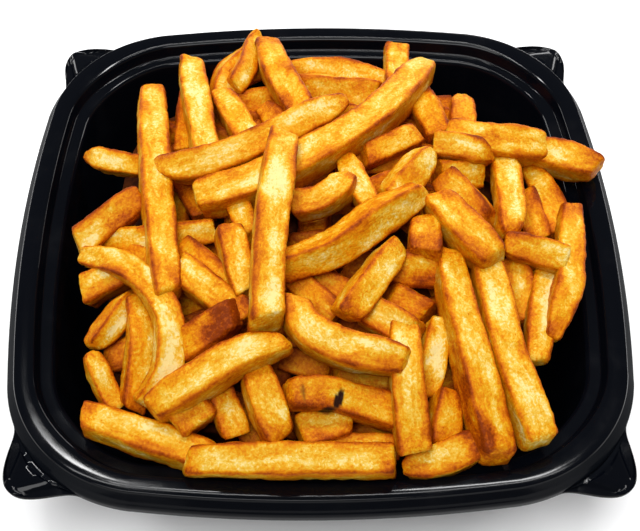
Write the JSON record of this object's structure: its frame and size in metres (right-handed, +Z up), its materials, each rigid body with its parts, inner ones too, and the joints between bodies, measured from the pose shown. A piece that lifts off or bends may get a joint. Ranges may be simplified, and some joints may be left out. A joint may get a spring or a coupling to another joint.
{
  "type": "takeaway tray of french fries",
  "caption": "Square black plastic takeaway tray with bowed sides, a stepped rim and corner ears, heaped with thick-cut golden french fries that stand above the rim.",
  "frame": {"origin": "centre of the tray's underside, on the surface that the tray stands on", "axes": "+Z up, +Y towards the back edge and +X towards the right edge of the tray when it is seen from the front, so the tray's four sides face along X and Y"},
  "size_m": [0.2162, 0.2162, 0.0862],
  "materials": {
    "black_plastic": "gloss black",
    "fried_potato": "golden, slightly oily crust"
  },
  "bodies": {
    "root": {"tray": "black_plastic", "fries": "fried_potato"}
  },
  "joints": []
}
